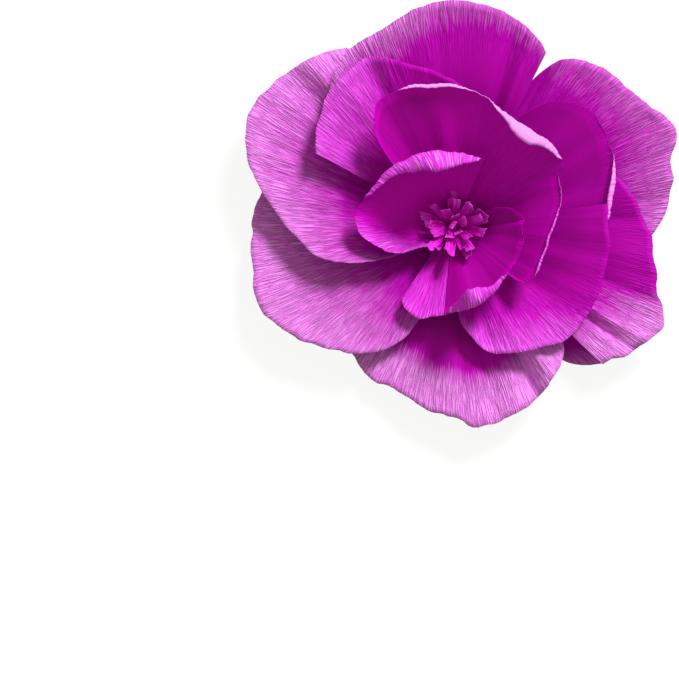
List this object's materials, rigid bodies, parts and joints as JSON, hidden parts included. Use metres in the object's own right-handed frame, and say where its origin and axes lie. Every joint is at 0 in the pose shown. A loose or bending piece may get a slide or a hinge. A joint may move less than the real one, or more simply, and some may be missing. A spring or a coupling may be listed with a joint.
{
  "type": "crepe paper flower",
  "caption": "Large layered flower of magenta crepe paper: cupped petals glued round a fringed centre on a flat round card disc.",
  "frame": {"origin": "centre of the card disc's flat back face", "axes": "+Z out of the disc towards the flower's face, +Y towards the top outer petal, +X to the right as seen from the front"},
  "size_m": [0.4003, 0.3948, 0.098],
  "materials": {
    "outer_crepe": "crinkled matte crepe",
    "middle_crepe": "crinkled matte crepe",
    "inner_crepe": "crinkled matte crepe",
    "fringe_crepe": "crinkled matte crepe",
    "disc_card": "matte magenta card"
  },
  "bodies": {
    "root": {"base_disc": "disc_card", "outer_petal_lower_right_back": "outer_crepe", "outer_petal_bottom": "outer_crepe", "outer_petal_lower_left": "outer_crepe", "outer_petal_left": "outer_crepe", "outer_petal_right": "outer_crepe", "outer_petal_top": "outer_crepe", "outer_petal_lower_right": "outer_crepe", "middle_petal_upper_left": "middle_crepe", "middle_petal_right": "middle_crepe", "middle_petal_lower_right": "middle_crepe", "inner_petal_right": "inner_crepe", "inner_petal_top": "inner_crepe", "inner_petal_bottom": "inner_crepe", "inner_petal_lower_right": "inner_crepe", "inner_petal_left": "inner_crepe", "fringed_centre": "fringe_crepe"}
  },
  "joints": []
}
